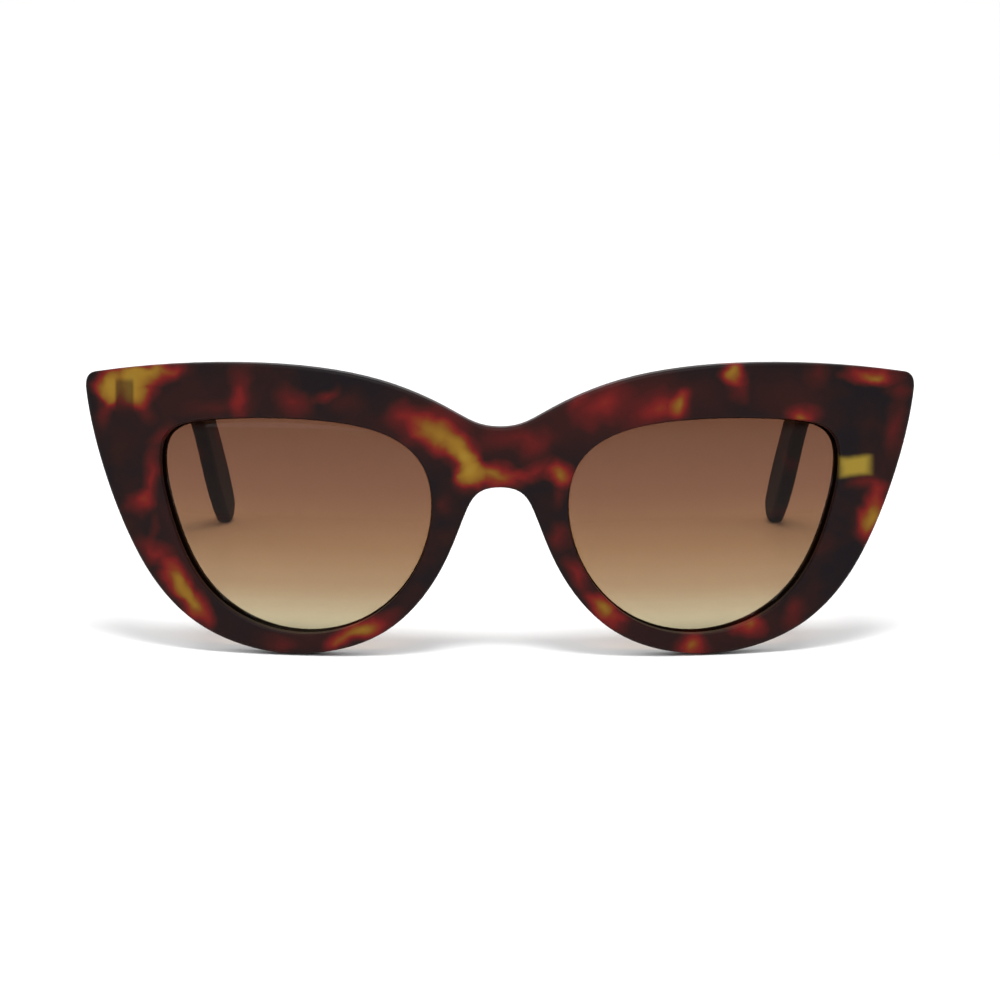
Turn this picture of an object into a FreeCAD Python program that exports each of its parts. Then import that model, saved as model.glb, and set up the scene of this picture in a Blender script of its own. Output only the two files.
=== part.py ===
"""Cat eye sunglasses in acetate, standing open on a table.

The front is a flat sheet shape bent round an upright cylinder, with walls that point at the
cylinder's axis, or more nearly straight back on the outer side of each opening. Each lens is a spherical shell whose bevelled edge sits in a groove of its rim.
Each temple turns on a hinge of five knuckles, sunk into the acetate, round one screw.

Two frames of reference are used. The front frame has X to the wearer's left, Y backwards from
the foremost line of the front and Z up along the front. The rest frame, which the parts are
written in, has the front leaning back, so that the rims and both temple tips touch Z = 0.
"""
import FreeCAD
import Part

import math
import os

from FreeCAD import Placement, Rotation, Vector

SIZES = {
    # front
    "wrap_radius": 230.0,
    "front_width": 145.0,
    "front_height": 50.8,
    "front_thickness": 4.8,
    "front_round": 0.7,
    "opening_round": 0.35,
    "opening_draft_deg": 6.0,
    "opening_draft_depth": 1.6,
    "opening_straight": 0.55,
    # how it stands
    "lean_deg": 4.5,
    "rest_lift": 0.43,
    "rest_shift": -72.955,
    # lenses
    "lens_curve": 180.0,
    "lens_thickness": 2.0,
    "lens_setback": 0.9,
    "lens_bite": 1.0,
    "lens_bevel": 0.6,
    "groove_play": 0.05,
    # nose pads
    "pad_across": 1.9,
    "pad_depth": 5.2,
    "pad_along": 8.5,
    "pad_out": 10.9,
    "pad_up": 17.6,
    "pad_tilt_deg": 20.0,
    "pad_splay_deg": 10.0,
    # hinges
    "hinge_out": 64.8,
    "hinge_up": 43.4,
    "hinge_standoff": 2.3,
    "knuckle_radius": 1.75,
    "knuckle_height": 1.36,
    "knuckle_play": 0.05,
    "bore_radius": 0.74,
    "plate_width": 4.9,
    "plate_depth": 0.8,
    "plate_proud": 0.06,
    "plate_outer": 3.0,
    "anchor_width": 3.6,
    "anchor_height": 6.7,
    "anchor_depth": 1.6,
    "front_web_out": 0.9,
    "leaf_length": 13.9,
    "leaf_height": 6.2,
    "leaf_thickness": 1.1,
    "leaf_front": 0.9,
    "screw_radius": 0.7,
    "screw_length": 7.15,
    "head_radius": 1.4,
    "head_height": 0.65,
    "slot_width": 0.36,
    "slot_depth": 0.34,
    # temples
    "splay_deg": 4.4,
    "drop_deg": 2.0,
    "temple_inner": 1.8,
    "temple_thickness": 3.6,
    "temple_tail_thickness": 3.0,
    "temple_round": 1.0,
    "temple_gap": 0.14,
    "temple_straight": 86.0,
    "bend_radius": 30.0,
    "bend_deg": 42.0,
    "tail_length": 25.77,
    "tip_turn_in": 2.4,
    "core_thickness": 1.0,
    "core_start": 3.0,
    "core_stop_short": 15.0,
    "core_height": 2.4,
    "core_tail_height": 1.4,
}

# Control points of one half of the front's outline, before bending, in millimetres at a
# width of 145 and a height of 50.8: out from the middle, and up.
BROW = [(0, 39.7), (3.7, 39.7), (7.1, 42.1), (20.1, 48.4), (41.0, 51.3), (63.0, 50.3), (74.3, 48.8)]
CORNER = [(74.3, 48.8), (76.3, 48.5), (76.25, 46.2)]
CHEEK = [
    (76.25, 46.2), (75.4, 38.0), (65.8, 11.6), (48.3, 0.9), (32.5, -0.7),
    (18.6, 3.3), (9.6, 14.5), (5.9, 25.9), (3.8, 29.3), (0, 29.3),
]
# Control points of one lens opening, in the same frame.
OPENING = [
    (59.4, 23.7), (62.6, 39.0), (52.5, 41.2), (22.9, 41.2), (10.8, 33.4),
    (12.1, 16.6), (22.7, 4.5), (39.0, 2.6), (53.1, 9.9),
]
OPENING_CENTRE = (36.1, 22.9)
OPENING_HALF = (24.3, 18.4)
NOMINAL_WIDTH = 144.38
NOMINAL_HEIGHT = 50.8
# Distance along a temple's centre line as a share of its length, and its half height there.
TEMPLE_HALF_HEIGHTS = [
    (-0.05, 4.5), (0.06, 4.5), (0.22, 4.35), (0.42, 4.05), (0.58, 3.85), (0.68, 3.75),
    (0.78, 3.9), (0.88, 4.4), (0.965, 4.5), (1.012, 3.1),
]
SECTION_FRONT = -2.0    # planes that the bent walls are lofted between, clear of the front
SECTION_BACK = 24.0
CUT_HEIGHT = 80.0       # height of the tools that cut the front out of its cylinders
BLANK_MARGIN = 4.0      # how far cutting tools overrun
KNUCKLES = 5

doc = FreeCAD.newDocument("cat_eye_sunglasses")
sheet = doc.addObject("Spreadsheet::Sheet", "dims")
for row, (alias, value) in enumerate(SIZES.items(), start=1):
    sheet.set(f"A{row}", alias)
    sheet.set(f"B{row}", str(value))
    sheet.setAlias(f"B{row}", alias)
doc.recompute()


def size(alias):
    """The number in the sheet's cell of that alias."""
    return float(sheet.get(alias))


def turned(axis, degrees):
    return Rotation(Vector(*axis), degrees)


R = size("wrap_radius")
T = size("front_thickness")
X_AXIS, Y_AXIS, Z_AXIS = (1, 0, 0), (0, 1, 0), (0, 0, 1)

# Frames: each is a Placement that carries a local frame into the rest frame.
REST = Placement(Vector(0, size("rest_shift"), size("rest_lift")), turned(X_AXIS, -size("lean_deg")))
HINGE_TURN = math.degrees(math.asin(size("hinge_out") / (R - T)))
HINGE_FOOT = Vector(size("hinge_out"), R - math.sqrt((R - T) ** 2 - size("hinge_out") ** 2), size("hinge_up"))
HINGE_NORMAL = turned(Z_AXIS, HINGE_TURN).multVec(Vector(0, 1, 0))
HINGE_AXIS = HINGE_FOOT + HINGE_NORMAL * size("hinge_standoff")
HINGE = REST.multiply(Placement(HINGE_AXIS, turned(Z_AXIS, HINGE_TURN)))
TEMPLE = REST.multiply(Placement(HINGE_AXIS, turned(Z_AXIS, size("splay_deg"))))
SHAFT = TEMPLE.multiply(Placement(Vector(), turned(X_AXIS, -size("drop_deg"))))
LENS_TURN = math.degrees(math.atan(OPENING_CENTRE[0] / R))
LENS_POINT = turned(Z_AXIS, LENS_TURN).multVec(Vector(0, -R, 0)) + Vector(0, R, OPENING_CENTRE[1])
LENS = REST.multiply(Placement(LENS_POINT, turned(Z_AXIS, LENS_TURN)))


def put(item, frame, base=(0, 0, 0), rotation=Rotation()):
    """Places an object in one of the frames."""
    item.Placement = frame.multiply(Placement(Vector(*base), rotation))
    return item


def bind(item, **cells):
    """Ties an object's properties to expressions on the sheet."""
    for name, expression in cells.items():
        item.setExpression(name, expression)
    return item


def spline(poles, degree=3, closed=False):
    """A uniform B-spline through its end poles, or a closed one."""
    curve = Part.BSplineCurve()
    count = len(poles)
    if closed:
        curve.buildFromPolesMultsKnots(poles, [1] * (count + 1), list(range(count + 1)), True, degree)
    else:
        spans = count - degree
        ends = degree + 1
        mults = [ends] + [1] * (spans - 1) + [ends]
        curve.buildFromPolesMultsKnots(poles, mults, list(range(spans + 1)), False, degree)
    return curve


def sketch(name, curves, frame, base=(0, 0, 0), rotation=Rotation()):
    item = doc.addObject("Sketcher::SketchObject", name)
    for curve in curves:
        item.addGeometry(curve, False)
    return put(item, frame, base, rotation)


def upright_sketch(name, curves, depth):
    """A sketch in the front frame, seen from the front, at a depth behind its foremost line."""
    return sketch(name, curves, REST, (0, depth, 0), turned(X_AXIS, 90))


def loft(name, sections):
    item = doc.addObject("Part::Loft", name)
    item.Sections, item.Solid, item.Ruled = sections, True, True
    return item


def cut(name, base, tool):
    item = doc.addObject("Part::Cut", name)
    item.Base, item.Tool = base, tool
    return item


def common(name, base, tool):
    item = doc.addObject("Part::Common", name)
    item.Base, item.Tool = base, tool
    return item


def fuse(name, shapes):
    item = doc.addObject("Part::MultiFuse", name)
    item.Shapes = shapes
    item.Refine = True
    return item


def mirrored(name, source):
    """The same piece for the other side of the face."""
    item = doc.addObject("Part::Mirroring", name)
    item.Source = source
    item.Base, item.Normal = Vector(0, 0, 0), Vector(1, 0, 0)
    return item


def box(name, frame, base, length, width, height):
    item = doc.addObject("Part::Box", name)
    for prop, value in (("Length", length), ("Width", width), ("Height", height)):
        if isinstance(value, str):
            bind(item, **{prop: value})
        else:
            setattr(item, prop, value)
    return put(item, frame, base)


def cylinder(name, frame, base, radius, height):
    item = doc.addObject("Part::Cylinder", name)
    for prop, value in (("Radius", radius), ("Height", height)):
        if isinstance(value, str):
            bind(item, **{prop: value})
        else:
            setattr(item, prop, value)
    return put(item, frame, base)


def rounded(name, base, radius, keep, kind="Part::Fillet"):
    """Rounds or chamfers the edges of base that keep(edge, middle point) picks."""
    doc.recompute()
    item = doc.addObject(kind, name)
    item.Base = base
    chosen = []
    for number, edge in enumerate(base.Shape.Edges, start=1):
        middle = edge.valueAt((edge.FirstParameter + edge.LastParameter) / 2)
        if keep(edge, middle):
            chosen.append((number, radius, radius))
    item.Edges = chosen
    doc.recompute()
    return item


# ---------------------------------------------------------------- front
def bent(point, depth, side=1):
    """A point of the flat outline, drawn towards the wrap axis as far as a plane at that depth."""
    across = size("front_width") / NOMINAL_WIDTH
    up = size("front_height") / NOMINAL_HEIGHT
    return Vector(side * point[0] * across * (R - depth) / R, point[1] * up, 0)


def outline(depth):
    """The whole outline of the front at a depth: brow, corner and cheek on each side."""
    runs = ((BROW, 3), (CORNER, 2), (CHEEK, 3))
    return [spline([bent(p, depth, s) for p in poles], degree) for s in (1, -1) for poles, degree in runs]


def opening(depth, grow=0.0, draft=True):
    """One lens opening at a depth, grown all round. Its wall runs in towards the wrap axis, on the
    outer side more nearly straight back, and is drafted open towards the front."""
    slope = math.tan(math.radians(size("opening_draft_deg"))) if draft else 0.0
    poles = []
    for x, up in OPENING:
        out = ((x - OPENING_CENTRE[0]) / OPENING_HALF[0], (up - OPENING_CENTRE[1]) / OPENING_HALF[1])
        surface = R - R * math.cos(math.atan(x / R))
        by = grow + slope * (surface + size("opening_draft_depth") - depth)
        straighter = size("opening_straight") * max(out[0], 0) * x / R * (depth - surface)
        poles.append(bent((x + out[0] * by, up + out[1] * by), depth) + Vector(straighter, 0, 0))
    return [spline(poles, 3, closed=True)]


def on_cylinder(radius):
    """Picks long edges that lie on an upright cylinder round the wrap axis."""
    back = REST.inverse()

    def test(edge, middle):
        local = back.multVec(middle)
        return edge.Length > 1.5 and abs(math.hypot(local.x, local.y - R) - radius) < 0.05

    return test


blank = loft("front_blank", [
    upright_sketch("outline_front", outline(SECTION_FRONT), SECTION_FRONT),
    upright_sketch("outline_back", outline(SECTION_BACK), SECTION_BACK),
])
outer_bend = cylinder("bend_outside", REST, (0, R, -CUT_HEIGHT / 4), "dims.wrap_radius", CUT_HEIGHT)
inner_bend = cylinder(
    "bend_inside", REST, (0, R, -CUT_HEIGHT / 4), "dims.wrap_radius - dims.front_thickness", CUT_HEIGHT
)
for bend in (outer_bend, inner_bend):
    bend.Placement = bend.Placement.multiply(Placement(Vector(), turned(Z_AXIS, 90)))
plate = common("front_plate", blank, cut("bend_slab", outer_bend, inner_bend))
eye_left = loft("opening_left", [
    upright_sketch("opening_front", opening(SECTION_FRONT), SECTION_FRONT),
    upright_sketch("opening_back", opening(SECTION_BACK), SECTION_BACK),
])
eye_right = mirrored("opening_right", eye_left)
pierced = cut("front_pierced", plate, fuse("openings", [eye_left, eye_right]))


def is_opening_edge(middle):
    """True near the rim of a lens opening, and not near the outline."""
    local = REST.inverse().multVec(middle)
    centre = R * math.sin(math.atan(OPENING_CENTRE[0] / R))
    across = (abs(local.x) - centre) / (OPENING_HALF[0] + 1.5)
    up = (local.z - OPENING_CENTRE[1]) / (OPENING_HALF[1] + 1.5)
    return across ** 2 + up ** 2 < 1.0


front_face, back_face = on_cylinder(R), on_cylinder(R - T)
soft_rims = rounded(
    "front_soft_openings", pierced, size("opening_round"),
    lambda e, m: (front_face(e, m) or back_face(e, m)) and is_opening_edge(m),
)
soft_front = rounded(
    "front_soft", soft_rims, size("front_round"),
    lambda e, m: (front_face(e, m) or back_face(e, m)) and not is_opening_edge(m),
)


# ---------------------------------------------------------------- lenses
def lens_solid(name, play):
    """A spherical shell cut to the opening's outline plus the bite, with a bevelled edge."""
    grow = size("lens_bite") + play
    prism = loft(name + "_prism", [
        upright_sketch(name + "_section_front", opening(SECTION_FRONT, grow, False), SECTION_FRONT),
        upright_sketch(name + "_section_back", opening(SECTION_BACK, grow, False), SECTION_BACK),
    ])
    curve = size("lens_curve")
    centre = (0, size("lens_setback") + curve, 0)
    balls = []
    for label, shrink in (("face", -play), ("eye", size("lens_thickness") + play)):
        ball = doc.addObject("Part::Sphere", f"{name}_{label}_ball")
        bind(ball, Radius=f"dims.lens_curve - {shrink}")
        put(ball, LENS, centre, turned(Z_AXIS, 90))
        balls.append(ball)
    shell = cut(name + "_shell", balls[0], balls[1])
    slab = common(name + "_slab", prism, shell)
    bevel = size("lens_bevel") - play
    return rounded(name, slab, bevel, lambda e, m: e.Length > 50, "Part::Chamfer")


lens_left = lens_solid("lens_left", 0.0)
groove_left = lens_solid("groove_left", size("groove_play"))
lens_right = mirrored("lens_right", lens_left)
groove_right = mirrored("groove_right", groove_left)

# ---------------------------------------------------------------- nose pads
pad_ball = doc.addObject("Part::Ellipsoid", "pad_ball")
bind(pad_ball, Radius1="dims.pad_along", Radius2="dims.pad_across", Radius3="dims.pad_depth")
pad_ball.Angle1, pad_ball.Angle2, pad_ball.Angle3 = -90, 90, 360
PAD_BACK = R - math.sqrt((R - T) ** 2 - size("pad_out") ** 2)
pad_turn = turned(Y_AXIS, -size("pad_tilt_deg")).multiply(turned(Z_AXIS, -size("pad_splay_deg")))
put(pad_ball, REST, (size("pad_out"), PAD_BACK, size("pad_up")), pad_turn)
pad_room = cylinder(
    "pad_room", REST, (0, R, -CUT_HEIGHT / 4), "dims.wrap_radius - dims.front_thickness", CUT_HEIGHT
)
pad_room.Placement = pad_room.Placement.multiply(Placement(Vector(), turned(Z_AXIS, 90)))
pad_left = common("nose_pad_left", pad_ball, pad_room)
pad_right = mirrored("nose_pad_right", pad_left)

# ---------------------------------------------------------------- hinges
PITCH = size("knuckle_height") + size("knuckle_play")
STACK = KNUCKLES * size("knuckle_height") + (KNUCKLES - 1) * size("knuckle_play")


def knuckles(name, frame, numbers, web_from, web_to, foot):
    """Knuckles by number from the bottom, each with a web from its axis to the plate or leaf."""
    made = []
    for i in numbers:
        z = -STACK / 2 + i * PITCH
        ring = cylinder(f"{name}_knuckle_{i}", frame, (0, 0, z), "dims.knuckle_radius", "dims.knuckle_height")
        low = (min(web_from[0], web_to[0]), min(web_from[1], web_to[1]), z)
        span = (abs(web_to[0] - web_from[0]), abs(web_to[1] - web_from[1]))
        web = box(f"{name}_web_{i}", frame, low, span[0], span[1], "dims.knuckle_height")
        made += [ring, web]
    return fuse(name + "_solid", made + foot)


stand = size("hinge_standoff")
sunk = stand + size("plate_depth")
front_plate = box(
    "hinge_front_plate", HINGE, (size("plate_outer") - size("plate_width"), -sunk, -STACK / 2),
    "dims.plate_width", "dims.plate_depth + dims.plate_proud", STACK,
)
anchor = box(
    "hinge_front_anchor", HINGE,
    (size("plate_outer") - size("anchor_width"), -sunk - size("anchor_depth"), -size("anchor_height") / 2),
    "dims.anchor_width", "dims.anchor_depth", "dims.anchor_height",
)
front_solid = knuckles(
    "hinge_front", HINGE, (0, 2, 4),
    (-size("knuckle_radius"), -sunk), (size("front_web_out"), 0), [front_plate, anchor],
)
front_bore = cylinder("hinge_front_bore", HINGE, (0, 0, -STACK), "dims.bore_radius", 2 * STACK)
hinge_front_left = cut("hinge_front_left", front_solid, front_bore)
hinge_front_right = mirrored("hinge_front_right", hinge_front_left)

inner = size("temple_inner")
leaf = box(
    "hinge_temple_leaf", SHAFT, (inner, -size("leaf_front"), -size("leaf_height") / 2),
    "dims.leaf_thickness", "dims.leaf_length", "dims.leaf_height",
)
temple_solid = knuckles(
    "hinge_temple", TEMPLE, (1, 3),
    (0, -size("leaf_front")), (inner + size("leaf_thickness") / 2, size("knuckle_radius")), [leaf],
)
temple_bore = cylinder("hinge_temple_bore", TEMPLE, (0, 0, -STACK), "dims.bore_radius", 2 * STACK)
hinge_temple_left = cut("hinge_temple_left", temple_solid, temple_bore)
hinge_temple_right = mirrored("hinge_temple_right", hinge_temple_left)


def origin_plane(body, role):
    return next(f for f in body.Origin.OriginFeatures if f.Role == role)


def screw(name):
    """A slotted screw with a cheese head, turned from a profile on the XZ plane."""
    body = doc.addObject("PartDesign::Body", name)
    profile = body.newObject("Sketcher::SketchObject", name + "_profile")
    profile.AttachmentSupport = [(origin_plane(body, "XZ_Plane"), "")]
    profile.MapMode = "FlatFace"
    top = STACK / 2
    points = [
        (0, top - size("screw_length")), (size("screw_radius"), top - size("screw_length")),
        (size("screw_radius"), top), (size("head_radius"), top),
        (size("head_radius"), top + size("head_height")), (0, top + size("head_height")),
    ]
    for a, b in zip(points, points[1:] + points[:1]):
        profile.addGeometry(Part.LineSegment(Vector(*a, 0), Vector(*b, 0)), False)
    turning = body.newObject("PartDesign::Revolution", name + "_turning")
    turning.Profile = profile
    turning.ReferenceAxis = (profile, ["V_Axis"])
    turning.Angle = 360
    doc.recompute()
    whole = turning.Shape.Volume
    mouth = body.newObject("Sketcher::SketchObject", name + "_slot_profile")
    mouth.AttachmentSupport = [(origin_plane(body, "XY_Plane"), "")]
    mouth.AttachmentOffset = Placement(Vector(0, 0, top + size("head_height")), Rotation())
    mouth.MapMode = "FlatFace"
    reach, half = size("head_radius") + 0.5, size("slot_width") / 2
    corners = [(-reach, -half), (reach, -half), (reach, half), (-reach, half)]
    for a, b in zip(corners, corners[1:] + corners[:1]):
        mouth.addGeometry(Part.LineSegment(Vector(*a, 0), Vector(*b, 0)), False)
    slot = body.newObject("PartDesign::Pocket", name + "_slot")
    slot.Profile = mouth
    bind(slot, Length="dims.slot_depth")
    doc.recompute()
    if not slot.Shape.Volume < whole - 0.1:
        raise RuntimeError("the screw's slot cuts nothing")
    return put(body, HINGE)


screw_left = screw("hinge_screw_left")
screw_right = mirrored("hinge_screw_right", screw_left)

# ---------------------------------------------------------------- temples
BEND = math.radians(size("bend_deg"))
BEND_LENGTH = size("bend_radius") * BEND
TEMPLE_LENGTH = size("temple_straight") + BEND_LENGTH + size("tail_length")


def centre_line(along):
    """Point (backwards, up) and direction of the temple's centre line at a length along it."""
    straight, radius = size("temple_straight"), size("bend_radius")
    if along <= straight:
        return (along, 0.0), (1.0, 0.0)
    turn = min((along - straight) / radius, BEND)
    point = (straight + radius * math.sin(turn), -radius * (1 - math.cos(turn)))
    past = max(0.0, along - straight - BEND_LENGTH)
    heading = (math.cos(turn), -math.sin(turn))
    return (point[0] + past * heading[0], point[1] + past * heading[1]), heading


def strip(stations):
    """Closed side view of a strip: control points above and below the centre line."""
    above, below = [], []
    for along, half in stations:
        (back, up), (east, north) = centre_line(along)
        above.append(Vector(back - north * half, up + east * half, 0))
        below.append(Vector(back + north * half, up - east * half, 0))
    top, bottom = spline(above), spline(below)
    front_end = Part.LineSegment(below[0], above[0])
    (back, up), (east, north) = centre_line(stations[-1][0] + stations[-1][1] * 0.75)
    nose_top = Vector(back - north * stations[-1][1] * 0.6, up + east * stations[-1][1] * 0.6, 0)
    nose_low = Vector(back + north * stations[-1][1] * 0.6, up - east * stations[-1][1] * 0.6, 0)
    end = spline([above[-1], nose_top, nose_low, below[-1]])
    return [top, end, bottom, front_end]


SIDE_VIEW = turned(Z_AXIS, 90).multiply(turned(X_AXIS, 90))


def padded(name, curves, base, rotation, length):
    """A sketch in the temple's frame, padded along its normal."""
    item = doc.addObject("Part::Extrusion", name)
    item.Base = sketch(name + "_sketch", curves, SHAFT, base, rotation)
    item.DirMode, item.LengthFwd, item.Solid = "Normal", length, True
    return item


# How far the inner face turns in, and the thickness outside it, by distance behind the hinge.
REACH = size("temple_straight") + size("bend_radius") * math.sin(BEND)
REACH += size("tail_length") * math.cos(BEND) + BLANK_MARGIN
FULL, TAIL = size("temple_thickness"), size("temple_tail_thickness")
PLAN_STATIONS = [
    (-8, 0, FULL), (30, 0, FULL), (60, 0, FULL * 0.4 + TAIL * 0.6), (84, 0, TAIL),
    (108, size("tip_turn_in") * 0.1, TAIL), (REACH, size("tip_turn_in"), TAIL),
]


def from_sides(name, stations, near, far):
    """A strip with a given side view, between two faces near and far, given by functions of thickness."""
    close = [Vector(inner - turned_in + near(thick), back, 0) for back, turned_in, thick in PLAN_STATIONS]
    away = [Vector(inner - turned_in + far(thick), back, 0) for back, turned_in, thick in PLAN_STATIONS]
    plan_curves = [
        spline(close), Part.LineSegment(close[-1], away[-1]),
        spline(away[::-1]), Part.LineSegment(away[0], close[0]),
    ]
    side = padded(
        name + "_side", strip(stations), (-BLANK_MARGIN, 0, 0), SIDE_VIEW, inner + FULL + 2 * BLANK_MARGIN
    )
    plan = padded(name + "_plan", plan_curves, (0, 0, -CUT_HEIGHT / 2), Rotation(), CUT_HEIGHT)
    return common(name, side, plan)


temple_block = from_sides(
    "temple_block", [(s * TEMPLE_LENGTH, h) for s, h in TEMPLE_HALF_HEIGHTS], lambda t: 0.0, lambda t: t
)
temple_soft = rounded(
    "temple_soft", temple_block, size("temple_round"),
    lambda e, m: SHAFT.inverse().multVec(m).y > 3 and e.Length > 3.5,
)
mitre = cylinder(
    "temple_mitre", REST, (0, R, -CUT_HEIGHT / 4),
    "dims.wrap_radius - dims.front_thickness - dims.temple_gap", CUT_HEIGHT,
)
mitre.Placement = mitre.Placement.multiply(Placement(Vector(), turned(Z_AXIS, 90)))
temple_cut = common("temple_mitred", temple_soft, mitre)

core_end = TEMPLE_LENGTH - size("core_stop_short")
core_stations = [
    (size("core_start") + (core_end - size("core_start")) * i / 8,
     (size("core_height") + (size("core_tail_height") - size("core_height")) * i / 8) / 2)
    for i in range(9)
]
core_left = from_sides(
    "temple_core_left", core_stations,
    lambda t: size("leaf_thickness"), lambda t: size("leaf_thickness") + size("core_thickness"),
)
core_right = mirrored("temple_core_right", core_left)
temple_left = cut("temple_left", temple_cut, fuse("temple_metal", [core_left, hinge_temple_left]))
temple_right = mirrored("temple_right", temple_left)

# ---------------------------------------------------------------- the front, cut for its metal and lenses
front_frame = cut(
    "front_frame", soft_front,
    fuse("front_pockets", [groove_left, groove_right, hinge_front_left, hinge_front_right]),
)

NODES = [
    front_frame, lens_left, lens_right, pad_left, pad_right, hinge_front_left, hinge_front_right,
    screw_left, screw_right, hinge_temple_left, hinge_temple_right, core_left, core_right,
    temple_left, temple_right,
]

doc.recompute()
for item in doc.Objects:
    if "Invalid" in item.State or "Error" in item.State:
        raise RuntimeError(f"{item.Label} failed: {item.State}")
os.makedirs("parts", exist_ok=True)
whole = FreeCAD.BoundBox()
for node in NODES:
    shape = node.Shape
    if shape.isNull() or not shape.isValid() or not shape.Solids:
        raise RuntimeError(f"{node.Label} has no valid solid")
    whole.add(shape.optimalBoundingBox())
    print(f"{node.Label}: {len(shape.Solids)} solid, {shape.Volume:.1f} mm3")
    shape.exportStep(f"parts/{node.Label}.step")
print(f"x {whole.XMin:.2f} {whole.XMax:.2f}  y {whole.YMin:.2f} {whole.YMax:.2f}")
print(f"z {whole.ZMin:.2f} {whole.ZMax:.2f}")
axis_at = REST.multVec(HINGE_AXIS)
print(f"left hinge axis at {axis_at.x:.3f} {axis_at.y:.3f} {axis_at.z:.3f}, lean {size('lean_deg')}")
for name, node in (("rims", front_frame), ("tip", temple_left)):
    print(name, "lowest", round(node.Shape.optimalBoundingBox().ZMin, 3))
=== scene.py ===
"""Looks of a pair of cat eye sunglasses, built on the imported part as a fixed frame.

The front, the temples and the nose pads are mottled cellulose acetate, tumbled matt. The lenses
are dyed resin, darker at the top. Hinges and temple cores are nickel silver, screws are steel.
Places are in the part's own frame: X to the wearer's left, Y backwards, Z up.
"""
import math

import bmesh
import bpy
import numpy as np
from bpy.props import FloatProperty, FloatVectorProperty, PointerProperty
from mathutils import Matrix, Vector


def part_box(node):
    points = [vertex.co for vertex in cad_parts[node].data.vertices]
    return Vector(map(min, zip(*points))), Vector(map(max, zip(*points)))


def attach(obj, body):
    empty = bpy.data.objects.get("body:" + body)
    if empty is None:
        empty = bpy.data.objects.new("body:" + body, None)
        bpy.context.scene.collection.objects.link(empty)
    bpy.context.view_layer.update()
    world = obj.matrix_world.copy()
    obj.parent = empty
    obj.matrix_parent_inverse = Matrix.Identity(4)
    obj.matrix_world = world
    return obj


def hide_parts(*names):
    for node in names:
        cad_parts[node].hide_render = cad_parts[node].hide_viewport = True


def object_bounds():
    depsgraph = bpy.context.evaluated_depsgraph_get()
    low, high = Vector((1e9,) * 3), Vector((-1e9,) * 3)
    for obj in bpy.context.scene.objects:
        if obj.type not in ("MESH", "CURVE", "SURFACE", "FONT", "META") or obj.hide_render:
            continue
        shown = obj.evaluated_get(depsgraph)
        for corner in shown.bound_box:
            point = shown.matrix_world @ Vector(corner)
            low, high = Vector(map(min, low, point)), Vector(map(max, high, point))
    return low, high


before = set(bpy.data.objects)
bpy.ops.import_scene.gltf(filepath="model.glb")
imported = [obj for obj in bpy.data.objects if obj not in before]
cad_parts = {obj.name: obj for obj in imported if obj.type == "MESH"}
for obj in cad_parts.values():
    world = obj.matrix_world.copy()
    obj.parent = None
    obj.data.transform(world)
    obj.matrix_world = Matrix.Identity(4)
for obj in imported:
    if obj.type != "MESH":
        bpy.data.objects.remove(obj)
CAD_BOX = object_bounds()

bl_info = {
    "name": "Cat Eye Sunglasses",
    "version": (1, 0, 0),
    "blender": (4, 5, 0),
    "location": "3D View > Sidebar > Sunglasses",
    "description": "Finishes acetate sunglasses: tortoiseshell, graduated lenses, hinges and stage",
    "category": "Object",
}

MM = 0.001
SIDES = ("left", "right")
# How the front is bent and stands, in mm and degrees: wrap radius, sheet thickness, lean back,
# and where its own origin comes to rest.
WRAP, SHEET, LEAN, REST_SHIFT, REST_LIFT = 230.0, 4.8, 4.5, -72.955, 0.43
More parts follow.
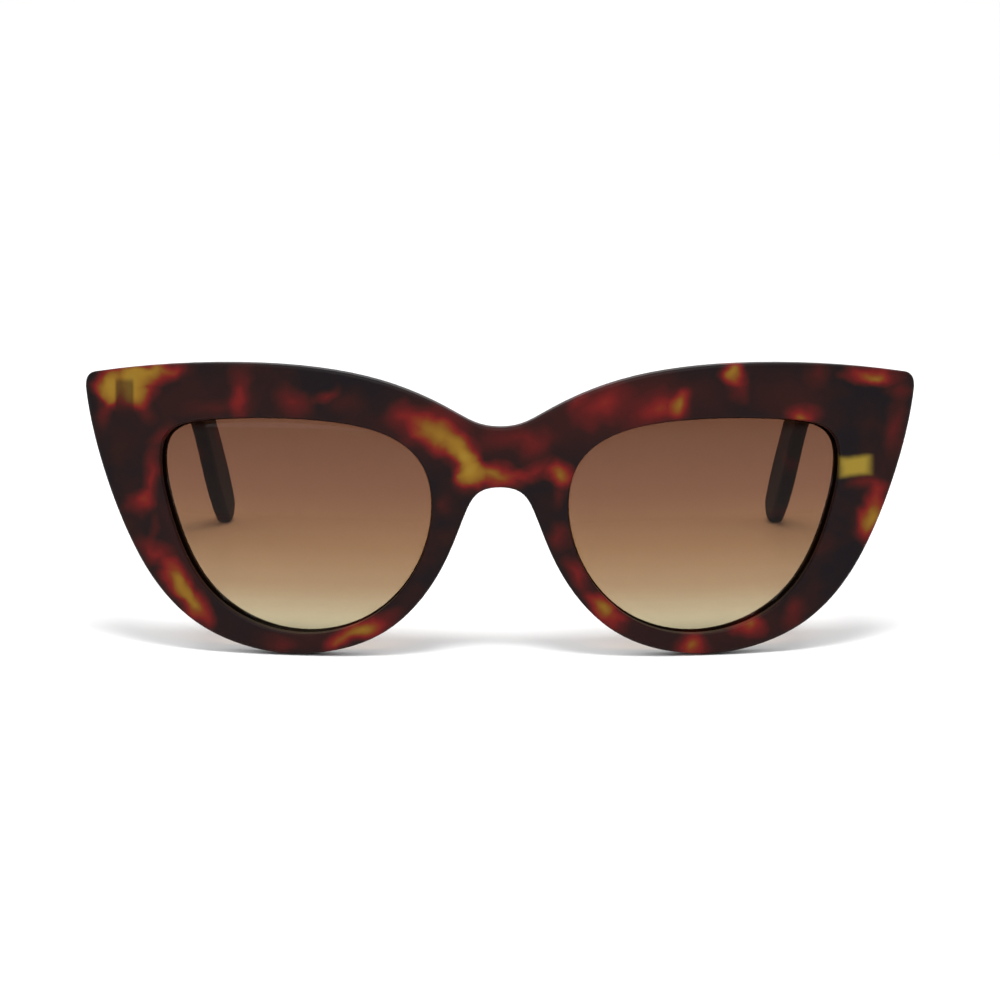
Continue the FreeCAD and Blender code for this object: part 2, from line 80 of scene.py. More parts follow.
# Blots of light pigment in the front's sheet, as a maker lays them out: across and up from the
# table, half length, half height (mm), turn (degrees) and how far the pigment clears.
FRONT_BLOTS = (
    # wide dark red haze round the groups of blots
    (-60.0, 43.0, 11.0, 6.0, -20, 0.14), (-42.0, 45.0, 12.0, 6.0, 0, 0.14),
    (-12.0, 39.5, 15.0, 8.0, 0, 0.24), (14.0, 41.0, 14.0, 8.0, -20, 0.22),
    (31.0, 45.0, 16.0, 5.0, 0, 0.22), (53.0, 44.0, 7.0, 7.0, 0, 0.18),
    (66.5, 28.0, 6.0, 12.0, 8, 0.16), (-59.0, 24.0, 5.0, 14.0, -20, 0.17),
    (-54.0, 10.0, 8.0, 7.0, 45, 0.14), (-30.0, 3.5, 18.0, 4.0, 0, 0.2),
    (16.0, 13.0, 6.0, 14.0, -30, 0.2), (42.0, 4.0, 18.0, 5.0, 0, 0.2),
    # the wearer's right corner and brow
    (-64.9, 46.0, 4.1, 3.3, 0, 1.3), (-60.8, 48.6, 4.2, 1.5, -8, 1.0),
    (-68.9, 42.6, 1.3, 3.4, 5, 0.5), (-68.4, 45.8, 1.3, 2.2, 0, 0.65),
    (-62.9, 43.6, 1.5, 3.0, -28, 0.45), (-56.9, 48.7, 2.6, 1.2, 0, 0.25),
    (-45.0, 45.6, 1.3, 5.2, 4, 0.36), (-44.8, 43.0, 2.3, 2.2, 0, 0.28),
    (-35.4, 44.0, 3.0, 2.1, 25, 0.44), (-29.9, 46.0, 2.2, 1.1, -35, 0.42),
    (-49.9, 42.0, 3.8, 1.4, 0, 0.2), (-26.5, 44.8, 2.8, 2.0, 0, 0.16),
    # the bridge
    (-17.0, 41.6, 2.6, 2.2, 0, 0.46), (-10.2, 41.6, 4.2, 1.8, 12, 0.42),
    (-10.6, 38.6, 4.3, 2.3, 25, 1.0), (-6.4, 35.6, 2.8, 2.5, 45, 0.95),
    (-5.2, 32.4, 2.2, 3.2, 0, 0.9), (-0.9, 31.4, 4.6, 1.9, 0, 1.0),
    (-14.8, 38.0, 2.0, 1.4, 0, 0.25), (2.6, 38.2, 5.4, 1.7, 0, 0.3),
    (6.1, 36.4, 2.0, 2.2, 0, 0.2), (6.6, 32.6, 3.0, 1.4, -10, 0.5),
    (11.0, 31.8, 2.1, 1.9, 0, 0.98), (10.1, 28.1, 1.1, 2.0, 0, 0.28),
    (10.3, 21.0, 1.6, 2.1, -10, 0.35), (13.9, 14.9, 1.4, 2.4, -40, 0.45),
    (-9.2, 26.5, 1.4, 2.4, 20, 0.3),
    # the wearer's left brow and corner
    (17.8, 43.8, 4.2, 2.4, -30, 0.44), (13.5, 44.3, 1.6, 0.9, -40, 0.25),
    (27.2, 42.9, 4.8, 2.2, -22, 0.52), (31.4, 44.0, 1.7, 1.9, 0, 0.62),
    (40.4, 49.0, 1.9, 1.8, 0, 1.1), (41.4, 46.4, 1.3, 2.2, 10, 0.36),
    (52.2, 41.6, 2.3, 1.7, 0, 0.6), (52.8, 41.2, 1.1, 0.9, 0, 0.3),
    (55.5, 48.4, 1.6, 2.0, 0, 0.24), (64.6, 48.0, 4.2, 1.4, 2, 1.05),
    (69.8, 45.6, 2.8, 1.4, 0, 0.32), (69.5, 39.3, 1.6, 4.8, 8, 0.38),
    (64.6, 28.7, 3.4, 1.1, 5, 0.36), (66.7, 27.4, 1.3, 1.5, 0, 0.3),
    (65.0, 22.9, 2.0, 3.6, 28, 1.1), (62.6, 22.2, 1.5, 2.6, 28, 0.25),
    # under the wearer's left lens
    (51.3, 7.2, 1.5, 2.8, 25, 0.36), (43.1, 4.6, 2.4, 1.8, -15, 0.74),
    (33.2, 1.6, 2.6, 2.2, 0, 0.85), (17.8, 8.8, 3.0, 1.8, 45, 1.0),
    (20.7, 6.1, 1.2, 1.3, 0, 0.3), (56.2, 17.9, 1.2, 2.4, 25, 0.2),
    # beside and under the wearer's right lens
    (-60.0, 17.4, 3.4, 1.4, 30, 0.5), (-56.2, 12.8, 3.0, 1.8, 55, 0.9),
    (-53.2, 8.4, 3.6, 1.8, 52, 1.05), (-57.8, 11.1, 2.8, 0.9, 60, 0.28),
    (-38.0, 1.9, 2.7, 1.5, 0, 0.3), (-23.6, 4.8, 5.6, 1.7, -25, 1.05),
    (-28.4, 2.1, 2.0, 1.1, 0, 0.28), (-61.2, 30.2, 1.5, 4.8, 14, 0.52),
    (-63.5, 26.0, 2.2, 1.5, -20, 0.5), (-58.8, 38.2, 2.6, 1.3, -35, 0.34),
    (-61.0, 21.0, 0.6, 2.4, 0, 0.2),
)
# Middle and half sizes (mm) of a chip of quite clear sheet by the wearer's left lens.
FRONT_TILE = ((62.1, 32.1), (2.45, 1.6))
# The hinge's anchor really sits in the other corner, let into the back of the front. The dark it
# makes through the clear blot there is painted shade, a dark patch in the sheet's colour. How far
# across and up that patch lies from the middle of its hinge, and its half sizes (mm).
ANCHOR_SHADE_SHIFT, ANCHOR_SHADE_HALF = (-0.124, 1.331), (1.6, 3.2)
# How far the dark pigment has cleared, as half the blots' sum, and the sheet's colour there.
PIGMENT_STEPS = (
    (0.05, "shade"), (0.11, "maroon"), (0.22, "crimson"), (0.32, "ember"), (0.39, "flame"),
    (0.44, "amber"), (0.51, "straw"), (0.64, "gold"), (0.9, "honey"),
)
# How far up the lens each dye colour sits, as a share of its height.
DYE_STEPS = ((0.03, "bottom"), (0.235, "lower"), (0.42, "middle"), (0.65, "upper"), (1.0, "top"))

# A nose pad, in mm in the front's own frame. Its middle line lies this far from the nose's middle,
# as a parabola's three terms, and runs half its length up and down from its middle height.
PAD_LINE = (11.85, 4.2, 0.75)
PAD_MIDDLE_HEIGHT, PAD_HALF_LENGTH = 17.0, 8.4
# The rings along it and points round it, and where the first ring stands, in radians from the tip.
PAD_RINGS, PAD_POINTS, PAD_TIP = 49, 48, 0.03
# Its half width as it lies across and up, the foot's flare and how fast that fades, its lean off
# the nose, and how deep it sits in the rim.
PAD_ACROSS, PAD_UP, PAD_FLARE, PAD_FADE, PAD_LEAN = 0.9, 0.45, 0.15, 3.0, 0.04
PAD_UNDER, PAD_SINK = 0.5, 0.05

# The floor is a disc of this radius in metres, divided in rings and spokes.
FLOOR_RADIUS, FLOOR_RINGS, FLOOR_SPOKES = 3.0, 12, 96
# Where each softbox hangs, where it points and its side, in metres, and the setting of its power.
SOFTBOXES = (
    ("overhead_softbox", (0.04, -0.45, 1.1), (0, 0, 0), 0.38, "overhead"),
    ("front_softbox", (-0.5, -1.2, 0.9), (0, 0, 0), 0.7, "front"),
    ("far_softbox", (0, 1.9, 0.9), (0, 1.8, 0), 1.0, "back"),
)
# What shiny surfaces mirror: the camera's side of the room is this dark.
DARK_SIDE = 0.25


def linear(code):
    """An sRGB hex colour as linear red, green, blue and 1."""
    parts = [int(code[i:i + 2], 16) / 255 for i in (1, 3, 5)]
    return [p / 12.92 if p <= 0.04045 else ((p + 0.055) / 1.055) ** 2.4 for p in parts] + [1.0]


def colour(name, about, code):
    """A colour setting with an sRGB hex default."""
    return FloatVectorProperty(
        name=name, description=about, default=linear(code)[:3], size=3, min=0, max=1,
        subtype="COLOR",
    )


def add(tree, kind, inputs=None, stops=None, **settings):
    """Adds a node. settings are its properties, inputs its sockets by name or number, each given a
    value or an output to join, and stops a colour ramp's places and colours."""
    made = tree.nodes.new(kind)
    for name, value in settings.items():
        setattr(made, name, value)
    if stops:
        ramp = made.color_ramp
        while len(ramp.elements) < len(stops):
            ramp.elements.new(1.0)
        for element, (place, shade) in zip(ramp.elements, stops):
            element.position, element.color = place, shade
    for key, value in (inputs or {}).items():
        if isinstance(value, bpy.types.NodeSocket):
            tree.links.new(value, made.inputs[key])
        else:
            made.inputs[key].default_value = value
    return made


def material(name):
    """An empty node material and its output node."""
    made = bpy.data.materials.new(name)
    made.use_nodes = True
    made.node_tree.nodes.clear()
    return made, made.node_tree, made.node_tree.nodes.new("ShaderNodeOutputMaterial")


def dress(obj, finish):
    """Gives every material slot of an object one finish."""
    if not obj.material_slots:
        obj.data.materials.append(finish)
    for place in obj.material_slots:
        place.link = "OBJECT"
        place.material = finish


class AcetateSettings(bpy.types.PropertyGroup):
    """Colours and finish of the mottled acetate sheet."""
    ground: colour("Ground", "Darkest pigment", "#110b0f")
    shade: colour("Shade", "Second dark, warmer", "#220e0b")
    maroon: colour("Maroon", "Dark red haze in the pigment", "#2b0f0d")
    crimson: colour("Crimson", "Red where the dark pigment thins", "#46100f")
    ember: colour("Ember", "Lighter red", "#641513")
    flame: colour("Flame", "Orange round the clear blots", "#6a2a11")
    amber: colour("Amber", "Clear sheet with some pigment left", "#6a3e12")
    straw: colour("Straw", "Blots of nearly clear sheet", "#734f16")
    gold: colour("Gold", "Middles of the larger blots", "#82601b")
    honey: colour("Honey", "Clearest sheet, and the tile", "#877128")
    roughness: FloatProperty(
        name="Roughness", description="Tumbled matt finish", default=0.5, min=0, max=1)
    # How strongly the painted shade of the hinge's anchor darkens the clear corner.
    through: FloatProperty(
        name="Anchor", description="How much a let-in anchor shows", default=0.62, min=0, max=1)
    spread: FloatProperty(
        name="Spread", description="Fading of a blot, as a share of its size", default=1.6, min=1)
    grain: FloatProperty(
        name="Grain", description="Pitch of the matt grain", default=0.16 * MM, unit="LENGTH")
    wander: FloatProperty(
        name="Wander", description="How far blot edges stray", default=1.1 * MM, unit="LENGTH")


class LensSettings(bpy.types.PropertyGroup):
    """Dye of the graduated lenses, as seen through the whole lens."""
    top: colour("Top", "Seen through the top", "#624030")
    upper: colour("Upper", "Seen a third of the way down", "#74503c")
    middle: colour("Middle", "Seen at the middle", "#866446")
    lower: colour("Lower", "Seen two thirds of the way down", "#9a7f60")
    bottom: colour("Bottom", "Seen through the bottom", "#beb797")
    gloss: FloatProperty(
        name="Gloss", description="Roughness of the hard coat", default=0.02, min=0, max=1)
    coat: FloatProperty(
        name="Coat", description="Share of light the coat mirrors head on", default=0.015, min=0,
        max=1)


class MetalSettings(bpy.types.PropertyGroup):
    """Hinges and screws."""
    nickel: colour("Nickel silver", "Hinge leaves and barrels", "#b9ae9a")
    steel: colour("Steel", "Screws", "#c3c3c1")
    brush: FloatProperty(
        name="Brush", description="Spacing of brush lines", default=0.12 * MM, unit="LENGTH")


class PadSettings(bpy.types.PropertyGroup):
    """Nose pads."""
    height: FloatProperty(
        name="Height", description="How far a pad stands off the rim", default=5.0 * MM,
        unit="LENGTH")
    half_width: FloatProperty(
        name="Half width", description="Half a pad's width", default=1.5 * MM, unit="LENGTH")


class StageSettings(bpy.types.PropertyGroup):
    """Camera, floor and lights."""
    distance: FloatProperty(
        name="Distance", description="Camera to front", default=0.8, unit="LENGTH")
    elevation: FloatProperty(
        name="Elevation", description="Camera above level", default=math.radians(9.4),
        subtype="ANGLE")
    lens: FloatProperty(
        name="Lens", description="Focal length in millimetres", default=167.2, min=1)
    aim: FloatProperty(
        name="Aim", description="Height of the middle of the view", default=0.0279, unit="LENGTH")
    floor: colour("Floor", "Satin white paper", "#fdfdfd")
    sheen: FloatProperty(
        name="Sheen", description="Share of light the paper mirrors", default=0.07, min=0, max=1)
    room: FloatProperty(
        name="Room", description="Brightness of the white room", default=0.82, min=0)
    overhead: FloatProperty(
        name="Overhead", description="Watts of the overhead softbox", default=8.8, min=0)
    front: FloatProperty(
        name="Front", description="Watts of the front softbox", default=2.0, min=0)
    back: FloatProperty(
        name="Back", description="Watts of the softbox over the far floor", default=2.0, min=0)


# ------------------------------------------------------------------------------ materials
def patch(tree, vector, centre, half, edge):
    """1 inside a rounded rectangle cut through the sheet, 0 outside. It falls from one to the other
    over edge, a share of the half sizes, on both sides of the outline. It is the smooth larger of
    the distances across and up, each over its half size."""
    there = add(
        tree, "ShaderNodeMapping",
        {"Vector": vector, "Location": (centre[0], 0, centre[1]),
         "Scale": (half[0], 1 / MM, half[1])},
        vector_type="TEXTURE",
    )
    size = add(tree, "ShaderNodeVectorMath", {0: there.outputs[0]}, operation="ABSOLUTE")
    parts = add(tree, "ShaderNodeSeparateXYZ", {0: size.outputs[0]})
    most = add(
        tree, "ShaderNodeMath", {0: parts.outputs["X"], 1: parts.outputs["Z"], 2: 0.35},
        operation="SMOOTH_MAX",
    )
    return add(
        tree, "ShaderNodeMapRange",
        {"Value": most.outputs[0], "From Min": 1 + edge, "From Max": 1 - edge},
        interpolation_type="SMOOTHSTEP",
    ).outputs[0]


def acetate(name, blots, veil, tile=None, anchor_shade=None):
    """Cellulose acetate: dark pigment run through clear amber sheet, sawn, then tumbled matt.
    It gives the eye soft blots with red and orange edges under a surface with no mirror shine.

    Each blot is a cone of height 'clears' over an ellipse, and their sum, bent by slow noise, says
    how thin the dark pigment is. A ramp turns that into the colours of PIGMENT_STEPS, so each clear
    blot has its red and orange edge. veil is how much unplanned mottling comes on top. tile is a
    clear rectangular chip in the sheet. anchor_shade is painted shade: a dark patch where a hinge's
    metal anchor, let into the back, darkens the clear sheet. Each is given as a centre and half
    sizes in mm.
    """
    s = bpy.context.scene.acetate
    finish, tree, out = material(name)
    place = add(tree, "ShaderNodeTexCoord").outputs["Object"]
    in_mm = add(
        tree, "ShaderNodeVectorMath", {0: place, "Scale": 1 / MM}, operation="SCALE"
    ).outputs[0]
    # Blot edges stray with noise of about 5 mm, with finer noise down to 1.2 mm in it. The noise
    # keeps within about a quarter of its middle, so four times the wander makes its usual reach.
    stray = add(
        tree, "ShaderNodeTexNoise",
        {"Vector": in_mm, "Scale": 1 / 5, "Detail": 2.0, "Roughness": 0.4},
    )
    centred = add(
        tree, "ShaderNodeVectorMath", {0: stray.outputs["Color"], 1: (0.5, 0.5, 0.5)},
        operation="SUBTRACT",
    )
    reach = add(
        tree, "ShaderNodeVectorMath", {0: centred.outputs[0], "Scale": 4 * s.wander / MM},
        operation="SCALE",
    )
    bent = add(
        tree, "ShaderNodeVectorMath", {0: in_mm, 1: reach.outputs[0]}, operation="ADD"
    ).outputs[0]
    # Unplanned mottling comes in clouds of about 11 mm.
    mottle = add(
        tree, "ShaderNodeTexNoise",
        {"Vector": bent, "Scale": 1 / 11, "Detail": 1.0, "Roughness": 0.4},
    ).outputs["Fac"]
    thin = add(
        tree, "ShaderNodeMapRange",
        {"Value": mottle, "From Min": 0.5, "From Max": 0.72, "To Min": 0.0, "To Max": veil},
        interpolation_type="SMOOTHSTEP",
    ).outputs["Result"]
    for across, up, long, tall, turn, clears in blots:
        there = add(
            tree, "ShaderNodeMapping",
            {"Vector": bent, "Location": (across, 0, up), "Rotation": (0, math.radians(turn), 0),
             "Scale": (long * s.spread, 1 / MM, tall * s.spread)},
            vector_type="TEXTURE",
        )
        cone = add(
            tree, "ShaderNodeTexGradient", {"Vector": there.outputs[0]},
            gradient_type="SPHERICAL",
        )
        thin = add(
            tree, "ShaderNodeMath", {0: cone.outputs["Fac"], 1: clears, 2: thin},
            operation="MULTIPLY_ADD",
        ).outputs[0]
    # The dark pigment itself drifts between two near blacks, in clouds of about 8 mm.
    drift = add(
        tree, "ShaderNodeTexNoise",
        {"Vector": in_mm, "Scale": 1 / 8, "Detail": 3.0, "Roughness": 0.55},
    ).outputs["Fac"]
    warmer = add(
        tree, "ShaderNodeMapRange", {"Value": drift, "From Min": 0.44, "From Max": 0.66}
    ).outputs[0]
    dark = add(
        tree, "ShaderNodeMix", {0: warmer, 6: (*s.ground, 1), 7: (*s.shade, 1)}, data_type="RGBA"
    ).outputs[2]
    # Heaped blots add up past 1, so the ramp runs over half their sum.
    halved = add(tree, "ShaderNodeMath", {0: thin, 1: 0.5}, operation="MULTIPLY").outputs[0]
    light = add(
        tree, "ShaderNodeValToRGB", {"Fac": halved},
        stops=[(step, (*getattr(s, shade), 1)) for step, shade in PIGMENT_STEPS],
    ).outputs["Color"]
    shows = add(
        tree, "ShaderNodeMapRange", {"Value": thin, "From Min": 0.04, "From Max": 0.2}
    ).outputs[0]
    sheet = add(
        tree, "ShaderNodeMix", {0: shows, 6: dark, 7: light}, data_type="RGBA"
    ).outputs[2]
    if tile:
        # Its outline strays too, but only by about a third as much as a blot's.
        nudged = add(
            tree, "ShaderNodeVectorMath", {0: reach.outputs[0], 1: (0.35, 0.35, 0.35), 2: in_mm},
            operation="MULTIPLY_ADD",
        ).outputs[0]
        chip = patch(tree, nudged, *tile, 0.45)
        sheet = add(
            tree, "ShaderNodeMix", {0: chip, 6: sheet, 7: (*s.honey, 1)}, data_type="RGBA"
        ).outputs[2]
    # Painted shade: over the anchor's outline the sheet is mixed towards the shade colour. This
    # stands in for the dark that the let-in anchor makes in the clear amber.
    if anchor_shade:
        behind = add(
            tree, "ShaderNodeMath", {0: patch(tree, in_mm, *anchor_shade, 0.2), 1: s.through},
            operation="MULTIPLY",
        ).outputs[0]
        sheet = add(
            tree, "ShaderNodeMix", {0: behind, 6: sheet, 7: (*s.shade, 1)}, data_type="RGBA"
        ).outputs[2]
    # Tumbling leaves a grain of a few hundredths of a millimetre. It is drawn coarser than that, at
    # the pitch set above, so that it shows.
    grain = add(
        tree, "ShaderNodeTexNoise", {"Vector": place, "Scale": 1 / s.grain, "Detail": 2.0}
    ).outputs["Fac"]
    relief = add(
        tree, "ShaderNodeBump", {"Height": grain, "Distance": 0.006 * MM, "Strength": 0.5}
    )
    body = add(
        tree, "ShaderNodeBsdfPrincipled",
        {"Base Color": sheet, "Roughness": s.roughness, "IOR": 1.48, "Specular IOR Level": 0.1,
         "Normal": relief.outputs[0]},
    )
    tree.links.new(body.outputs[0], out.inputs["Surface"])
    return finish


def lens_dye(name, low, high):
    """Resin lens dyed by slow dipping, under a clear hard coat. It gives the eye a clear view that
    goes from brown at the top to sand at the bottom, with a gloss only near grazing.

    low and high are the lens's lowest and highest places. A look through the lens passes both of
    its faces, so each one takes the square root of the whole colour."""
    s = bpy.context.scene.lens_dye
    finish, tree, out = material(name)
    place = add(tree, "ShaderNodeTexCoord").outputs["Object"]
    height = add(tree, "ShaderNodeSeparateXYZ", {0: place}).outputs["Z"]
    along = add(
        tree, "ShaderNodeMapRange", {"Value": height, "From Min": low, "From Max": high}
    ).outputs["Result"]
    half = [(step, [math.sqrt(c) for c in getattr(s, shade)] + [1]) for step, shade in DYE_STEPS]
    dye = add(tree, "ShaderNodeValToRGB", {"Fac": along}, stops=half)
    clear = add(tree, "ShaderNodeBsdfTransparent", {"Color": dye.outputs["Color"]})
    coat = add(tree, "ShaderNodeBsdfGlossy", {"Roughness": s.gloss})
    # What the coat mirrors: little head on, rising with the fifth power towards grazing.
    turned = add(tree, "ShaderNodeLayerWeight", {"Blend": 0.5}).outputs["Facing"]
    fifth = add(tree, "ShaderNodeMath", {0: turned, 1: 5.0}, operation="POWER").outputs[0]
    shine = add(
        tree, "ShaderNodeMath", {0: fifth, 1: 0.8, 2: s.coat}, operation="MULTIPLY_ADD"
    ).outputs[0]
    joined = add(tree, "ShaderNodeMixShader", {0: shine, 1: clear.outputs[0], 2: coat.outputs[0]})
    tree.links.new(joined.outputs[0], out.inputs["Surface"])
    return finish


def metal(name, shade, roughness):
    """Nickel silver milled and brushed, or steel turned. It gives the eye fine level lines and a
    soft, uneven shine. Real lines lie a few hundredths of a millimetre apart, and they are drawn
    coarser, at the spacing set above, so that they show."""
    s = bpy.context.scene.metals
    finish, tree, out = material(name)
    place = add(tree, "ShaderNodeTexCoord").outputs["Object"]
    # The noise is pressed together 12 times upwards, which draws it out into level lines.
    lines = add(tree, "ShaderNodeMapping", {"Vector": place, "Scale": (1, 1, 12)}).outputs[0]
    brushed = add(
        tree, "ShaderNodeTexNoise",
        {"Vector": lines, "Scale": 1 / (12 * s.brush), "Detail": 2.0},
    ).outputs["Fac"]
    relief = add(
        tree, "ShaderNodeBump", {"Height": brushed, "Distance": 0.004 * MM, "Strength": 0.4}
    )
    rough = add(
        tree, "ShaderNodeMapRange",
        {"Value": brushed, "To Min": roughness - 0.06, "To Max": roughness + 0.1},
    )
    body = add(
        tree, "ShaderNodeBsdfPrincipled",
        {"Base Color": (*shade, 1), "Metallic": 1.0, "Roughness": rough.outputs[0],
         "Normal": relief.outputs[0]},
    )
    tree.links.new(body.outputs[0], out.inputs["Surface"])
    return finish


# ------------------------------------------------------------------------------ pieces
class SUNGLASSES_OT_front(bpy.types.Operator):
    """Finish the front in tortoiseshell acetate."""
    bl_idname = "sunglasses.front"
    bl_label = "Front"

    def execute(self, context):
        # The painted shade of the anchor goes by the hinge at the wearer's right corner.
        low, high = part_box("hinge_front_right")
        hinge = (low + high) / 2 / MM
        anchor_shade = ((hinge.x + ANCHOR_SHADE_SHIFT[0], hinge.z + ANCHOR_SHADE_SHIFT[1]), ANCHOR_SHADE_HALF)
        dress(
            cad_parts["front_frame"],
            acetate("acetate_front_tortoiseshell", FRONT_BLOTS, 0.0, FRONT_TILE, anchor_shade),
        )
        return {"FINISHED"}


class SUNGLASSES_OT_temples(bpy.types.Operator):
    """Finish both temples, with the mottling left to chance."""
    bl_idname = "sunglasses.temples"
    bl_label = "Temples"

    def execute(self, context):
        finish = acetate("acetate_temple_tortoiseshell", (), 0.85)
        for side in SIDES:
            dress(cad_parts[f"temple_{side}"], finish)
        return {"FINISHED"}


def smooth_copy(node, name, angle):
    """A copy of a node's mesh with its triangles joined, smooth except past an angle in degrees."""
    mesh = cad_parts[node].data.copy()
    mesh.name = name
    shape = bmesh.new()
    shape.from_mesh(mesh)
    bmesh.ops.remove_doubles(shape, verts=shape.verts, dist=0.001 * MM)
    shape.to_mesh(mesh)
    shape.free()
    mesh.shade_smooth()
    mesh.set_sharp_from_angle(angle=math.radians(angle))
    made = bpy.data.objects.new(name, mesh)
    bpy.context.scene.collection.objects.link(made)
    return made


def stand(points):
    """Points of the front's own frame (mm: across, back, up along the front) as world metres."""
    lean = math.radians(LEAN)
    x, back, up = points[..., 0], points[..., 1], points[..., 2]
    return MM * np.stack([
        x, back * math.cos(lean) + up * math.sin(lean) + REST_SHIFT,
        up * math.cos(lean) - back * math.sin(lean) + REST_LIFT,
    ], -1)


def ring_mesh(name, rings, flip):
    """A closed tube through rings of points, its two ends drawn to their middles. flip turns its
    faces over, for a mirrored piece."""
    count, around = rings.shape[:2]
    ends = rings[[0, -1]].mean(axis=1)
    points = np.vstack([rings.reshape(-1, 3), ends])
    i, k = np.meshgrid(np.arange(count - 1), np.arange(around), indexing="ij")
    after = (k + 1) % around
    here, there = i * around, (i + 1) * around
    quads = np.stack([here + k, here + after, there + after, there + k], -1)
    k = np.arange(around)
    after = (k + 1) % around
    end = (count - 1) * around
    first = np.stack([np.full_like(k, count * around), after, k], -1)
    last = np.stack([np.full_like(k, count * around + 1), end + k, end + after], -1)
    faces = quads.reshape(-1, 4).tolist() + first.tolist() + last.tolist()
    if flip:
        faces = [face[::-1] for face in faces]
    mesh = bpy.data.meshes.new(name)
    mesh.from_pydata(points.tolist(), [], faces)
    mesh.shade_smooth()
    made = bpy.data.objects.new(name, mesh)
    bpy.context.scene.collection.objects.link(made)
    return made


class SUNGLASSES_OT_nose_pads(bpy.types.Operator):
    """Mould the nose pads, domes that flare into the back of the rims beside the nose."""
    bl_idname = "sunglasses.nose_pads"
    bl_label = "Nose pads"

    def execute(self, context):
        s = context.scene.pads
        finish = acetate("acetate_pad_tortoiseshell", (), 0.5)
        # Along the pad, t runs -1 to 1 from its top. Around it, a runs over the dome and back
        # under it. The middle line follows the rim's edge beside the nose, a parabola. Its half
        # width falls as the root of 1 - t^2 and its height a little faster, the foot flares out,
        # and the crest leans off the nose. It stands on the back of the front, a cylinder.
        t = -np.cos(np.linspace(PAD_TIP, np.pi - PAD_TIP, PAD_RINGS))[:, None]
        a = np.linspace(0, 2 * np.pi, PAD_POINTS, endpoint=False)[None, :]
        rise = np.maximum(np.sin(a), 0)
        under = np.maximum(-np.sin(a), 0)
        swell = np.sqrt(1 - t * t)
        height = s.height / MM * swell ** 1.2 * rise ** 0.8
        foot = 1 + PAD_FLARE * np.exp(-PAD_FADE * rise)
        aside = s.half_width / MM * swell * np.cos(a) * foot
        middle = PAD_LINE[0] + PAD_LINE[1] * t + PAD_LINE[2] * t * t
        across = middle + PAD_ACROSS * aside + PAD_LEAN * height
        up = PAD_MIDDLE_HEIGHT - PAD_HALF_LENGTH * t + PAD_UP * aside
        wall = WRAP - np.sqrt((WRAP - SHEET) ** 2 - across ** 2)
        back = wall + height - PAD_UNDER * under * swell - PAD_SINK
        for side, way in (("left", 1), ("right", -1)):
            rings = stand(np.stack([way * across, back + 0 * across, up], -1))
            piece = ring_mesh(f"moulded_pad_{side}", rings, way < 0)
            dress(piece, finish)
            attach(piece, "front")
            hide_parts(f"nose_pad_{side}")
        return {"FINISHED"}


class SUNGLASSES_OT_lenses(bpy.types.Operator):
    """Dye the lenses from brown at the top to sand at the bottom."""
    bl_idname = "sunglasses.lenses"
    bl_label = "Lenses"

    def execute(self, context):
        low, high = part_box("lens_left")
        finish = lens_dye("resin_lens_brown_graduated", low[2], high[2])
        for side in SIDES:
            piece = smooth_copy(f"lens_{side}", f"cast_lens_{side}", 25)
            dress(piece, finish)
            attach(piece, "front")
            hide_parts(f"lens_{side}")
        return {"FINISHED"}


class SUNGLASSES_OT_hinges(bpy.types.Operator):
    """Finish hinges, screws and temple cores in metal."""
    bl_idname = "sunglasses.hinges"
    bl_label = "Hinges"

    def execute(self, context):
        s = context.scene.metals
        nickel = metal("nickel_silver_satin", s.nickel, 0.3)
        steel = metal("stainless_steel_turned", s.steel, 0.24)
        for side in SIDES:
            for node in ("hinge_front", "hinge_temple", "temple_core"):
                dress(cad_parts[f"{node}_{side}"], nickel)
            dress(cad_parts[f"hinge_screw_{side}"], steel)
        return {"FINISHED"}


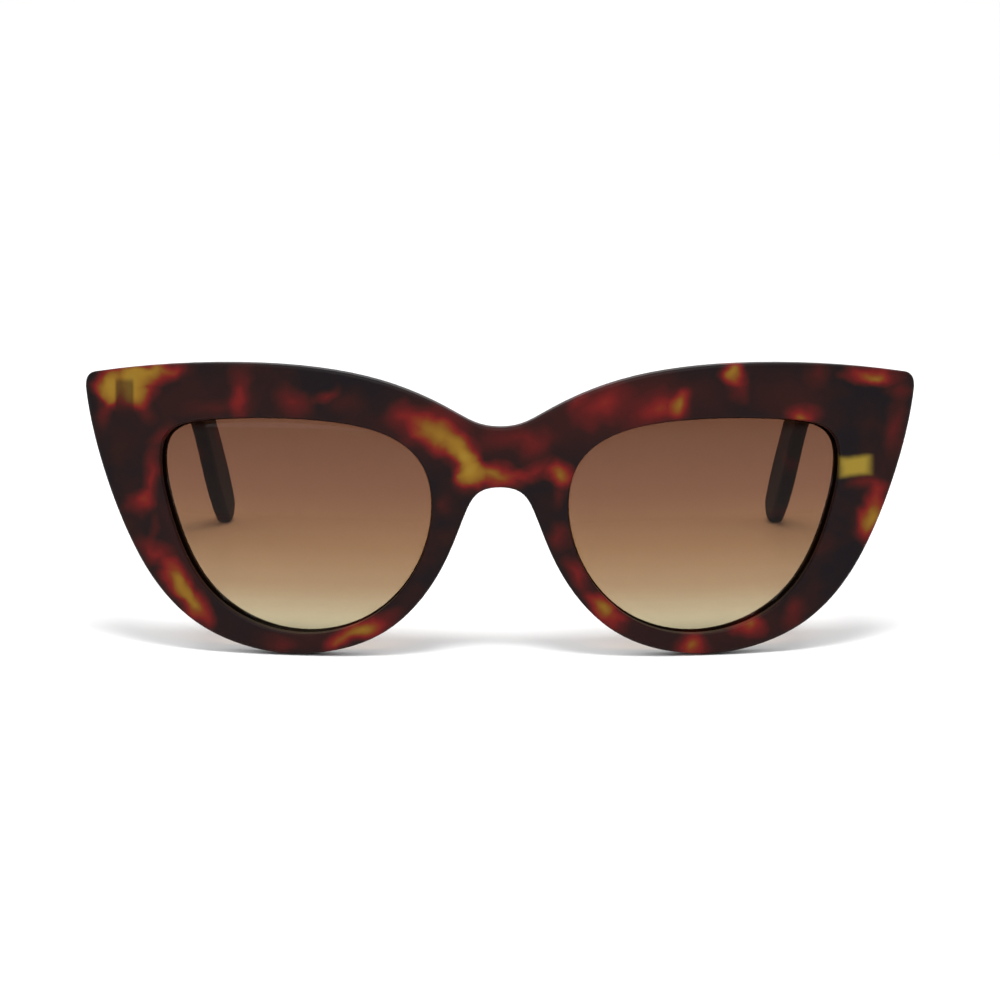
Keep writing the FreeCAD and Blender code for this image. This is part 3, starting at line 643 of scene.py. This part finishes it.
class SUNGLASSES_OT_stage(bpy.types.Operator):
    """Set the camera, a pale paper floor and soft lights."""
    bl_idname = "sunglasses.stage"
    bl_label = "Stage"

    def execute(self, context):
        s = context.scene.stage_set
        scene = context.scene
        scene.view_settings.view_transform = "Standard"
        aim = Vector((0, CAD_BOX[0][1] - 1.2 * MM, s.aim))
        camera = bpy.data.objects.new("camera", bpy.data.cameras.new("camera"))
        camera.data.lens, camera.data.sensor_width = s.lens, 36.0
        away = Vector((0, -math.cos(s.elevation), math.sin(s.elevation)))
        camera.location = aim + s.distance * away
        camera.rotation_euler = (math.pi / 2 - s.elevation, 0, 0)
        scene.collection.objects.link(camera)
        scene.camera = camera

        # The floor is a sheet of paper, a flat disc of rings and spokes round one middle point.
        r = np.linspace(0, FLOOR_RADIUS, FLOOR_RINGS)[1:, None]
        a = np.linspace(0, 2 * np.pi, FLOOR_SPOKES, endpoint=False)[None, :]
        ring = np.stack([r * np.cos(a), r * np.sin(a), 0 * r * a], -1).reshape(-1, 3)
        points = np.vstack([[0, 0, 0], ring])
        i, k = np.meshgrid(np.arange(FLOOR_RINGS - 2), np.arange(FLOOR_SPOKES), indexing="ij")
        after = (k + 1) % FLOOR_SPOKES
        inner, outer = 1 + i * FLOOR_SPOKES, 1 + (i + 1) * FLOOR_SPOKES
        quads = np.stack([inner + k, outer + k, outer + after, inner + after], -1)
        hub = np.stack([0 * k[0], 1 + k[0], 1 + after[0]], -1)
        faces = hub.tolist() + quads.reshape(-1, 4).tolist()
        mesh = bpy.data.meshes.new("paper_floor")
        mesh.from_pydata(points.tolist(), [], faces)
        floor = bpy.data.objects.new("paper_floor", mesh)
        scene.collection.objects.link(floor)
        # Satin white paper: an even white with a faint, blurred reflection of what stands on it.
        paper, tree, out = material("matt_paper_white")
        flat = add(tree, "ShaderNodeBsdfDiffuse", {"Color": (*s.floor, 1)})
        sheen = add(tree, "ShaderNodeBsdfGlossy", {"Color": (1, 1, 1, 1), "Roughness": 0.2})
        body = add(
            tree, "ShaderNodeMixShader", {0: s.sheen, 1: flat.outputs[0], 2: sheen.outputs[0]}
        )
        tree.links.new(body.outputs[0], out.inputs["Surface"])
        dress(floor, paper)

        # A white room. In mirrors the sweep behind and the wall near the floor are white, and the
        # rest of the camera's side is dark.
        world = bpy.data.worlds.new("white_room")
        world.use_nodes = True
        tree = world.node_tree
        tree.nodes.clear()
        white = (1, 1, 1, 1)
        ray = add(tree, "ShaderNodeLightPath")
        seen = add(tree, "ShaderNodeBackground", {"Color": white, "Strength": s.room})
        sky = add(tree, "ShaderNodeTexCoord").outputs["Generated"]
        way = add(tree, "ShaderNodeSeparateXYZ", {0: sky})
        sweep = add(
            tree, "ShaderNodeMapRange",
            {"Value": way.outputs["Y"], "From Min": -0.3, "From Max": 0.6, "To Min": DARK_SIDE,
             "To Max": 1.0},
            interpolation_type="SMOOTHSTEP",
        )
        low = add(
            tree, "ShaderNodeMapRange",
            {"Value": way.outputs["Z"], "From Min": 0.0, "From Max": 0.45, "To Min": 1.0,
             "To Max": DARK_SIDE},
        )
        glow = add(
            tree, "ShaderNodeMath", {0: sweep.outputs[0], 1: low.outputs[0]}, operation="MAXIMUM"
        )
        mirrored = add(
            tree, "ShaderNodeBackground", {"Color": white, "Strength": glow.outputs[0]}
        )
        room = add(
            tree, "ShaderNodeMixShader",
            {0: ray.outputs["Is Glossy Ray"], 1: seen.outputs[0], 2: mirrored.outputs[0]},
        )
        add(tree, "ShaderNodeOutputWorld", {"Surface": room.outputs[0]})
        scene.world = world

        for name, place, target, size, power in SOFTBOXES:
            light = bpy.data.objects.new(name, bpy.data.lights.new(name, "AREA"))
            light.data.size, light.data.energy = size, getattr(s, power)
            light.location = place
            turned = (Vector(target) - Vector(place)).to_track_quat("-Z", "Y")
            light.rotation_euler = turned.to_euler()
            scene.collection.objects.link(light)
        return {"FINISHED"}


class SUNGLASSES_PT_panel(bpy.types.Panel):
    """Lists the steps in the sidebar."""
    bl_idname = "SUNGLASSES_PT_panel"
    bl_label = "Sunglasses"
    bl_space_type = "VIEW_3D"
    bl_region_type = "UI"
    bl_category = "Sunglasses"

    def draw(self, context):
        for operator in OPERATORS:
            self.layout.operator(operator.bl_idname)


SETTINGS = {
    "acetate": AcetateSettings, "lens_dye": LensSettings, "metals": MetalSettings,
    "pads": PadSettings, "stage_set": StageSettings,
}
OPERATORS = (
    SUNGLASSES_OT_stage, SUNGLASSES_OT_front, SUNGLASSES_OT_temples, SUNGLASSES_OT_nose_pads,
    SUNGLASSES_OT_lenses, SUNGLASSES_OT_hinges,
)
CLASSES = (*SETTINGS.values(), *OPERATORS, SUNGLASSES_PT_panel)


def register():
    for item in CLASSES:
        bpy.utils.register_class(item)
    for name, group in SETTINGS.items():
        setattr(bpy.types.Scene, name, PointerProperty(type=group))


def unregister():
    for name in SETTINGS:
        delattr(bpy.types.Scene, name)
    for item in reversed(CLASSES):
        bpy.utils.unregister_class(item)


def main():
    register()
    for step in ("stage", "front", "temples", "nose_pads", "lenses", "hinges"):
        getattr(bpy.ops.sunglasses, step)()


if __name__ == "__main__":
    main()
